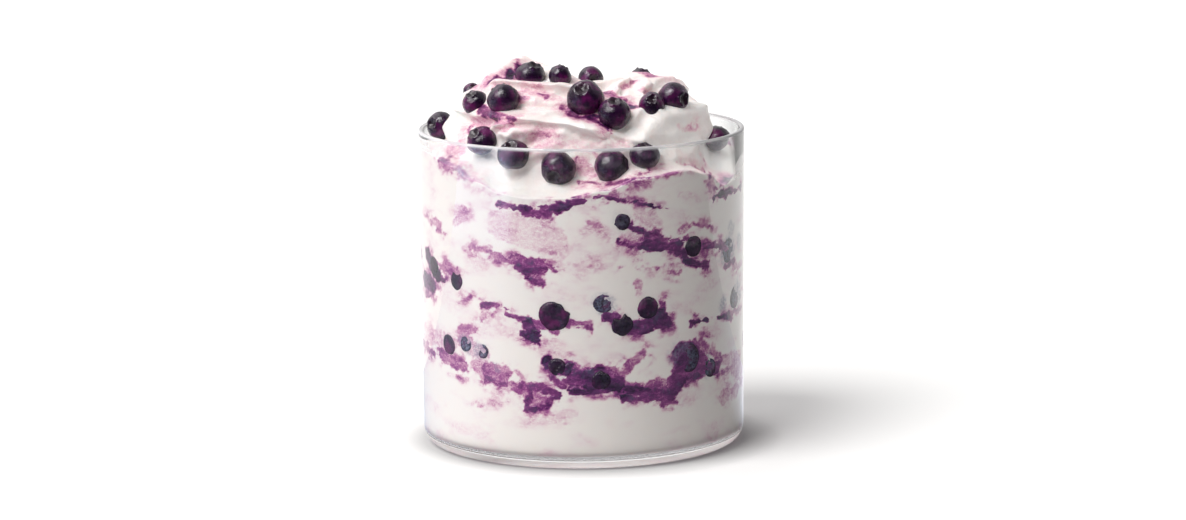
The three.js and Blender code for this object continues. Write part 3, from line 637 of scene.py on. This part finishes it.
def cream_finish():
    """Moist white soft serve, stained by the sauce from pale pink through magenta to near-black purple."""
    finish = Finish("soft_serve_stained", SAUCE_COLOURS[0][1], Roughness=0.42, Subsurface_Weight=0.3,
                    Subsurface_Scale=0.002, IOR=1.36)
    finish.skin.inputs["Subsurface Radius"].default_value = (1.0, 0.8, 0.7)
    sauce = finish.field("sauce")
    patches = finish.spread(finish.noise(0.9, 4.0, 0.7), 0.36, 0.6, 0.1, 1.1)
    smear = finish.math("MULTIPLY", finish.field("veil"), patches)
    smear_colour = finish.blend(finish.noise(1.6, 3.0), srgb(74, 78, 112), srgb(172, 176, 196))
    finish.set("Base Color", finish.blend(smear, stained_colour(finish, sauce), smear_colour))
    finish.set("Roughness", finish.spread(sauce, 0.2, 0.8, 0.42, 0.26))
    grains = finish.math("MULTIPLY", finish.noise(1.7, 5.0, 0.6), finish.field("relief"))
    finish.bump(grains, 0.35)
    return finish.material


def sauce_finish():
    """Thick berry sauce: the same colours as the stains, with skins and pulp that catch the light."""
    finish = Finish("berry_sauce", SAUCE_COLOURS[6][1], Roughness=0.3, IOR=1.42)
    finish.set("Base Color", stained_colour(finish, finish.field("sauce")))
    finish.bump(finish.noise(0.8, 4.0), 0.12)
    return finish.material


def berry_finish():
    """Blueberry skin: black purple with red purple patches, a dull blue bloom, wrinkles and wet gloss."""
    finish = Finish("blueberry_skin", srgb(34, 14, 36), Roughness=0.25, IOR=1.38, Coat_Weight=0.25,
                    Coat_Roughness=0.05)
    bare = finish.ramp(finish.noise(4.5, 3.0), [
        (0.34, srgb(22, 6, 30)), (0.5, srgb(42, 9, 46)), (0.66, srgb(94, 20, 80)),
    ])
    bloom = finish.noise(2.4, 5.0, 0.7)
    skin = finish.blend(finish.spread(bloom, 0.58, 0.8, 0.0, 0.3), bare, srgb(62, 66, 120))
    crowned = finish.blend(finish.field("crown"), skin, srgb(34, 18, 30))
    patches = finish.spread(finish.noise(0.9, 4.0, 0.7), 0.38, 0.62, 0.0, 1.0)
    smear = finish.math("MULTIPLY", finish.field("veil"), patches)
    finish.set("Base Color", finish.blend(smear, crowned, srgb(112, 122, 150)))
    finish.set("Roughness", finish.spread(bloom, 0.4, 0.7, 0.12, 0.32))
    finish.bump(finish.noise(1.3, 5.0, 0.65), 0.32, 0.7)
    return finish.material


def glass_finish():
    """Clear glass whose lip carries a painted highlight: a share of pale white diffuse near the top, so the
    rim reads as a pale line. Lamps shine straight through it onto the filling, and less through its foot."""
    finish = Finish("clear_glass", (0.98, 0.99, 0.988, 1), Roughness=0.0, Transmission_Weight=1.0, IOR=1.5)
    path = finish.node("LightPath").outputs
    lit = finish.math("MAXIMUM", path["Is Shadow Ray"], path["Is Diffuse Ray"])
    height = finish.node("SeparateXYZ", {0: finish.node("TexCoord").outputs["Object"]}).outputs["Z"]
    shade = finish.blend(finish.spread(height, 3 * MM, 7 * MM, 0, 1), (0.45, 0.44, 0.46, 1), (1, 1, 1, 1))
    open_side = finish.node("BsdfTransparent", {"Color": shade})
    # Painted highlight: up to 40 % pale white diffuse over the top 1.2 mm of the lip.
    lip = finish.spread(height, (GLASS_HEIGHT - 1.2) * MM, (GLASS_HEIGHT - 0.5) * MM, 0.0, 0.4)
    painted_light = finish.node("BsdfDiffuse", {"Color": (0.9, 0.9, 0.92, 1)})
    with_painted_highlight = finish.node("MixShader", {0: lip, 1: finish.skin.outputs[0], 2: painted_light.outputs[0]})
    mixed = finish.node("MixShader", {0: lit, 1: with_painted_highlight.outputs[0], 2: open_side.outputs[0]})
    finish.join(mixed.outputs[0], finish.output.inputs["Surface"])
    return finish.material


# ---- The glass ----
def make_glass(finish):
    """Tumbler: a turned profile that runs out along the base, up the wall, over the rim and down inside."""
    lip = WALL / 2
    cavity_foot = FOOT_RADIUS - WALL
    profile = np.concatenate([
        [[0, 0], [20, 0]],
        arc(FOOT_RADIUS - FOOT_ROUND, FOOT_ROUND, FOOT_ROUND, -90, 0, 14),
        [[(FOOT_RADIUS + RIM_RADIUS) / 2, GLASS_HEIGHT / 2]],
        arc(RIM_RADIUS - lip, GLASS_HEIGHT - lip, lip, 0, 180, 12),
        [[glass_inside(GLASS_HEIGHT / 2), GLASS_HEIGHT / 2]],
        arc(cavity_foot - CAVITY_ROUND, FLOOR + CAVITY_ROUND, CAVITY_ROUND, 0, -90, 12),
        [[20, FLOOR], [0, FLOOR]],
    ])
    return piece("tumbler", turned(profile, np.arange(256) * 360 / 256), finish, ["glass"])


# ---- The soft serve ----
def contact_line(azimuth):
    """Height at which the mound meets the glass."""
    return around(CONTACT, azimuth) + 0.3 * rough(at_radius(azimuth, 46, 0), 7, 31, 3)


def make_filling(finish):
    """The filling: floor, rounded corner and wall up to the mound's edge, and a lid under the mound."""
    azimuth = columns(560)
    foot = FLOOR - INTO_WALL
    edge = FOOT_RADIUS - WALL + INTO_WALL
    bend = arc(edge - CAVITY_ROUND, foot + CAVITY_ROUND, CAVITY_ROUND, -90, 0, 8)
    below = turned([(0, foot), (24, foot), *bend], azimuth)
    contact = contact_line(azimuth)
    base = foot + CAVITY_ROUND
    height = base + (contact - base) * np.linspace(0, 1, 169)[1:, None]
    wall = at_radius(azimuth, glass_inside(height) + INTO_WALL, height)
    lid = np.stack([at_radius(azimuth, 40, contact - 1.5), at_radius(azimuth, 0.1, 76)])
    rings = np.concatenate([below, wall, lid])
    fields = {"sauce": np.clip(wall_sauce(rings), 0, 1.2), "veil": veiled(rings)}
    return piece("soft_serve_filling", rings, finish, ["cream"], fields)


def make_mound(finish):
    """The folded mound: its foot lies inside the filling, and its skirt leaves the glass at the contact
    line."""
    azimuth = columns(544)
    contact = contact_line(azimuth)
    lowest = np.degrees(np.arctan2(contact - MOUND_CENTRE, glass_inside(contact) + INTO_WALL))
    elevation = lowest + (90 - lowest) * np.linspace(0, 1, 172)[:, None]
    mound = mound_points(np.broadcast_to(azimuth, elevation.shape), elevation)
    mound[0, :, 2] = contact
    below = np.stack([at_radius(azimuth, 0.1, 75), at_radius(azimuth, 40, contact - 3),
                      at_radius(azimuth, glass_inside(contact), contact - 1)])
    rings = np.concatenate([below, mound])
    skirt_start, skirt_width = 44.2, 1.6
    near_glass = eased((np.hypot(rings[..., 0], rings[..., 1]) - skirt_start) / skirt_width)
    sauce = np.maximum(mound_sauce(rings), wall_sauce(rings) * near_glass)
    fields = {"sauce": np.clip(sauce, 0, 1.2), "veil": veiled(rings) * near_glass, "relief": 1 - near_glass}
    return piece("soft_serve_mound", rings, finish, ["cream"], fields)


# ---- The ripples ----
def make_ripple(name, finish, seed):
    """A sheet of sauce from the axis to the glass. On the glass it stands out of the cream only where there
    is enough sauce, by a skin that grows with the sauce, so its outline is as torn as the stains."""
    core, edge = RIPPLES[name]
    azimuth = columns(900)
    thickness = around(edge, azimuth, 2)
    middle = around(edge, azimuth)
    core_half = 1.2
    shares = [0.0, 0.3, 0.6, 0.85, 0.95]

    def sheet(share, side):
        """The ring of the sheet's lower (-1) or upper (1) side at a share of the way to the glass."""
        z = core + (middle - core) * share**1.5 + side * (core_half + (thickness / 2 - core_half) * share)
        return at_radius(azimuth, share * RIPPLE_REACH, z)

    across = np.linspace(-1, 1, 62)[:, None]
    z = middle + (thickness / 2 + 2.2) * across
    place = at_radius(azimuth, STAIN_RADIUS, z)
    sauce = wall_sauce(place)
    skin = 0.34 * (sauce - 0.5 - 0.16 * rough(place, 1.6, seed, 3)) - 0.8 * np.abs(across) ** 12
    radius = glass_inside(z) + INTO_WALL + np.clip(skin, -0.8, 0.26)
    lower, upper = [sheet(share, -1) for share in shares], [sheet(share, 1) for share in shares[::-1]]
    rings = np.stack(lower + list(at_radius(azimuth, radius, z)) + upper)
    inner = np.full((len(shares), len(azimuth)), 0.9)
    fields = {"sauce": np.clip(np.concatenate([inner, sauce, inner]), 0, 1.2)}
    return piece(name + "_sauce", rings, finish, [name], fields)


# ---- The berries ----
def berry_rings(size, seed, squash):
    """A blueberry of radius `size` with its crown at +Z: a ball that is slightly flat, uneven by noise, with
    a dimple at the crown and a rim of five blunt lobes round it."""
    polar = np.concatenate([np.linspace(180, 40, 22), np.linspace(36, 0, 12)])
    around_crown = np.arange(44) * 360 / 44
    ring, step = np.meshgrid(polar, around_crown, indexing="ij")
    ball = np.stack([np.sin(np.radians(ring)) * np.cos(np.radians(step)),
                     np.sin(np.radians(ring)) * np.sin(np.radians(step)), np.cos(np.radians(ring))], -1)
    lobes = 1 + 0.45 * np.cos(np.radians(5 * step + 20 * seed))
    rim = 0.075 * lobes * np.exp(-(((ring - 23) / 6.5) ** 2))
    dimple = -0.2 * np.exp(-((ring / 15) ** 2))
    lumps = 0.05 * rough(ball * 2, 1.6, 200 + seed, 2) + 0.014 * rough(ball * 2, 0.35, 300 + seed, 2)
    points = ball * (1 + rim + dimple + lumps)[..., None] * [1, 1, squash] * size
    crown = np.exp(-((ring / 24) ** 4))
    return points, crown


def turned_to(points, crown_way):
    """The points with +Z turned to the way that the crown faces."""
    way = np.array(crown_way, float) / np.linalg.norm(crown_way)
    side = np.cross([0, 0, 1], way)
    side = side / np.linalg.norm(side) if np.linalg.norm(side) > 1e-6 else np.array([1.0, 0, 0])
    return points @ np.stack([side, np.cross(way, side), way])


def laid_out(points):
    """The points moved level outwards to where the strokes on the glass are laid out, and their radius."""
    radius = np.hypot(points[..., 0], points[..., 1])
    share = [STAIN_RADIUS, STAIN_RADIUS, 1] / np.stack([radius, radius, np.ones_like(radius)], -1)
    return points * share, radius


# Crowns that the photo shows: berry number on the mound, and the way its crown faces.
CROWNS = {
    1: (0.3, -0.3, 0.9), 2: (0.4, 0.1, 0.9), 8: (-0.25, -0.75, 0.75), 9: (0.05, -0.45, 0.9),
    14: (-0.2, -0.6, 0.8),
}


def make_top_berry(name, number, finish):
    """A berry on the mound, centred in its solid. Near the glass the veils lie over it in places; high on the
    left that veil is a painted reflection of the glass.
    """
    low, high = corners(name)
    centre = (low + high) / 2
    size = np.mean(high - low) / 2 * TOP_BERRY_GROWTH
    outward = (centre - [0, 0, MOUND_CENTRE]) / np.linalg.norm(centre - [0, 0, MOUND_CENTRE])
    random = np.random.default_rng(500 + number)
    way = CROWNS.get(number, outward + random.normal(0, 0.8, 3))
    rings, crown = berry_rings(size, number, 0.9 + 0.08 * random.random())
    points = turned_to(rings, way) + centre
    seen, radius = laid_out(points)
    fields = {"crown": crown, "veil": veiled(seen) * eased((radius - 34) / 4)}
    return piece(name + "_berry", points, finish, [name], fields)


def make_side_berry(name, number, finish):
    """A berry that is pressed against the glass: what would pass the wall is flattened onto it, and the flat
    dips behind the cream in places."""
    low, high = corners(name)
    middle = (low + high) / 2
    size = (high[2] - low[2]) / 2 * SIDE_BERRY_GROWTH
    azimuth = math.degrees(math.atan2(middle[0], -middle[1]))
    centre = at_radius(azimuth, CREAM_RADIUS - 2 * size * BERRY_DEPTH, middle[2])
    random = np.random.default_rng(700 + number)
    rings, crown = berry_rings(size, 40 + number, 0.94)
    points = turned_to(rings, random.normal(0, 1, 3) + [0, 0, 0.4]) + centre
    seen, radius = laid_out(points)
    gap = np.linalg.norm(points - at_radius(azimuth, radius, middle[2]), axis=-1) / size
    cover = 0.9 * veiled(seen) + 0.4 * rough(seen, 2.6, 800 + number, 3)
    stand = np.clip(0.36 - 0.5 * cover, -0.5, 0.5) - 0.3 * gap.clip(0, 1) ** 4
    limit = glass_inside(points[..., 2]) + INTO_WALL + stand
    points[..., :2] *= np.minimum(1, limit / radius)[..., None]
    fields = {"crown": crown * 0.5, "veil": np.clip(veiled(seen) + 0.06, 0, 0.8)}
    return piece(name + "_berry", points, finish, [name], fields)


# ---- Floor, light and camera ----
def table_finish():
    """Plain white that stays pale round the cup's soft shadow, with a painted contact shadow along the foot.
    It lights the cup less than it shows, apart from a ring near the foot that glows as painted light. The
    glass
    mirrors it by azimuth: a dark front, a blue white panel that starts far out on the left and a paler one
    on the right. Under the foot it glows as painted light, so the base and the cream over it look pale.
    Lengths are in metres here."""
    finish = Finish("white_table", (1, 1, 1, 1))
    foot, clear_of_foot, behind = 0.0475, 0.052, 0.1
    black = (0.02, 0.02, 0.022, 1)
    path = finish.node("LightPath").outputs
    place = finish.node("SeparateXYZ", {0: finish.node("TexCoord").outputs["Object"]}).outputs
    squares = [finish.math("MULTIPLY", place[side], place[side]) for side in "XY"]
    radius = finish.math("SQRT", finish.math("ADD", *squares))
    tone = finish.blend(path["Is Diffuse Ray"], (1.07, 1.07, 1.07, 1), (0.4, 0.4, 0.4, 1))
    # Painted contact shadow: the table darkens to 60 % of its tone towards the foot.
    contact = finish.spread(radius, foot, 0.06, 0.6, 1)
    cloth_with_painted_shadow = finish.node("BsdfDiffuse", {"Color": finish.blend(contact, (0, 0, 0, 1), tone)}).outputs[0]
    # Painted light: for diffuse rays a ring of table round the foot glows and lights the cup's lower part.
    ring = finish.math("MULTIPLY", path["Is Diffuse Ray"], finish.spread(radius, 0.05, 0.15, 0.4, 0.0))
    glow = finish.node("Emission", {"Strength": ring}).outputs[0]
    plain = finish.node("AddShader", {0: cloth_with_painted_shadow, 1: glow}).outputs[0]
    azimuth = finish.math("ARCTAN2", place["X"], finish.math("MULTIPLY", place["Y"], -1.0))
    turn = finish.spread(azimuth, -math.pi, math.pi, 0, 1)
    near = finish.ramp(turn, [
        (0.0, (0.16, 0.16, 0.16, 1)), (0.18, (0.13, 0.14, 0.17, 1)), (0.33, (0.13, 0.14, 0.17, 1)),
        (0.4, black), (0.62, black), (0.76, black), (0.84, (0.18, 0.19, 0.21, 1)),
        (0.9, (0.26, 0.26, 0.28, 1)), (0.97, (0.16, 0.16, 0.16, 1)),
    ])
    far = finish.ramp(turn, [
        (0.0, (0.2, 0.2, 0.2, 1)), (0.12, (0.2, 0.2, 0.2, 1)), (0.2, (0.3, 0.34, 0.44, 1)),
        (0.35, (0.36, 0.41, 0.54, 1)), (0.37, black), (0.78, black), (0.86, (0.34, 0.36, 0.42, 1)),
        (0.92, (0.4, 0.4, 0.44, 1)),
    ])
    panels = finish.blend(finish.spread(radius, 0.42, 0.62, 0, 1), near, far)
    mirror = finish.node("Emission", {"Color": panels, "Strength": 5.0}).outputs[0]
    apart = finish.math("GREATER_THAN", radius, clear_of_foot)
    ahead = finish.math("LESS_THAN", place["Y"], behind)
    direct = finish.math("MAXIMUM", path["Is Camera Ray"], path["Is Diffuse Ray"])
    mirrored = finish.math("SUBTRACT", 1.0, direct)
    share = finish.math("MULTIPLY", finish.math("MULTIPLY", apart, ahead), mirrored)
    around_cup = finish.node("MixShader", {0: share, 1: plain, 2: mirror}).outputs[0]
    # Painted light: under the foot the table glows for rays through the base and for diffuse rays, so the
    # base band and the cream's underside look pale.
    indirect = finish.math("MAXIMUM", path["Is Transmission Ray"], path["Is Diffuse Ray"])
    under = finish.math("MULTIPLY", finish.math("LESS_THAN", radius, foot), indirect)
    strength = finish.spread(path["Is Transmission Ray"], 0, 1, 2.0, 1.7)
    painted_light = finish.node("Emission", {"Color": (1.0, 0.97, 0.985, 1), "Strength": strength}).outputs[0]
    with_painted_glow = finish.node("MixShader", {0: under, 1: around_cup, 2: painted_light}).outputs[0]
    finish.join(with_painted_glow, finish.output.inputs["Surface"])
    return finish.material


def make_floor():
    """The table top, one wide square."""
    half = 6.0
    square = [(-half, -half, 0), (half, -half, 0), (half, half, 0), (-half, half, 0)]
    mesh = bpy.data.meshes.new("table")
    mesh.from_pydata(square, [], [(0, 1, 2, 3)])
    mesh.materials.append(table_finish())
    table = bpy.data.objects.new("table", mesh)
    bpy.context.scene.collection.objects.link(table)


def make_world():
    """A studio: lit from overhead, white behind the cup and dark on the camera's side, where the glass would
    mirror it, with a small bright window that only shows in mirrors. Seen directly or through the glass it is
    plain white."""
    world = bpy.data.worlds.new("studio")
    world.use_nodes = True
    nodes = Nodes(world.node_tree)
    place = nodes.node("TexCoord").outputs["Generated"]
    way = nodes.node("SeparateXYZ", {0: place}).outputs
    path = nodes.node("LightPath").outputs
    overhead = nodes.spread(way["Z"], 0, 1, 0.1, 0.42)
    towards_window = {0: place, 1: tuple(direction(-40, 58))}
    facing = nodes.node("VectorMath", towards_window, operation="DOT_PRODUCT").outputs[1]
    window = nodes.spread(facing, 0.972, 0.982, 0, 13)
    sides = nodes.spread(way["Y"], -0.5, 0.5, 0.03, 0.7)
    top = nodes.spread(way["Z"], 0.4, 1, 0, 0.3)
    mirrored = nodes.math("ADD", nodes.math("MAXIMUM", sides, top), window)
    through = nodes.math("MAXIMUM", path["Is Camera Ray"], path["Is Transmission Ray"])
    bounced = nodes.node("Mix", {0: path["Is Glossy Ray"], 2: overhead, 3: mirrored}).outputs[0]
    strength = nodes.node("Mix", {0: through, 2: bounced, 3: 1.0}).outputs[0]
    background = world.node_tree.nodes["Background"]
    background.inputs["Color"].default_value = (1.0, 0.99, 0.99, 1)
    nodes.join(strength, background.inputs["Strength"])
    bpy.context.scene.world = world


def make_lamp(name, azimuth, elevation, energy, angle):
    """A wide soft lamp that shines from a direction along its own -Z, with its angular size in degrees."""
    lamp = bpy.data.lights.new(name, "SUN")
    lamp.energy = energy
    lamp.angle = math.radians(angle)
    lamp.color = (1.0, 0.99, 0.975)
    sun = bpy.data.objects.new(name, lamp)
    back = direction(azimuth, elevation)
    side = np.cross([0, 0, 1], back)
    side /= np.linalg.norm(side)
    sun.matrix_world = Matrix(np.stack([side, np.cross(back, side), back], -1).tolist()).to_4x4()
    bpy.context.scene.collection.objects.link(sun)
    return sun


def make_card(mound):
    """A very wide lamp from the right for the mound alone, in place of a white card beside the cup."""
    lit_by_card = bpy.data.collections.new("lit_by_card")
    lit_by_card.objects.link(mound)
    make_lamp("card", 80, 16, 0.85, 60).light_linking.receiver_collection = lit_by_card


def make_camera():
    """The photo's view: low and long, rolled half a degree and aimed at a point in the cup."""
    target = np.array([3.138, 0, 53.334])
    distance, tilt, roll = 1166.9, 9.736, -0.499
    focal_pixels, frame_width = 3940.1, 1186
    back = direction(0, tilt)
    right, up = np.array([1.0, 0, 0]), np.cross(back, [1.0, 0, 0])
    turn = math.radians(roll)
    side = right * math.cos(turn) + up * math.sin(turn)
    top = up * math.cos(turn) - right * math.sin(turn)
    lens = bpy.data.cameras.new("camera")
    lens.sensor_width = 36
    lens.lens = focal_pixels / frame_width * lens.sensor_width
    camera = bpy.data.objects.new("camera", lens)
    place = Matrix(np.stack([side, top, back], -1).tolist()).to_4x4()
    place.translation = ((target + back * distance) * MM).tolist()
    camera.matrix_world = place
    bpy.context.scene.collection.objects.link(camera)
    bpy.context.scene.camera = camera


# ---- The cup ----
bpy.context.scene.view_settings.view_transform = "Standard"
make_camera()
make_world()
make_lamp("key", -52, 45, 2.75, 44)
make_lamp("back", -130, 50, 0.8, 50)
make_floor()
make_glass(glass_finish())
cream_skin = cream_finish()
make_filling(cream_skin)
mound = make_mound(cream_skin)
sauce_skin = sauce_finish()
for number, ripple in enumerate(RIPPLES):
    make_ripple(ripple, sauce_skin, 400 + 100 * number)
berry_skin = berry_finish()
for node in sorted(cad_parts):
    if node.startswith("berry_top"):
        make_top_berry(node, int(node[-2:]), berry_skin)
    elif node.startswith("berry_side"):
        make_side_berry(node, int(node[-2:]), berry_skin)

make_card(mound)
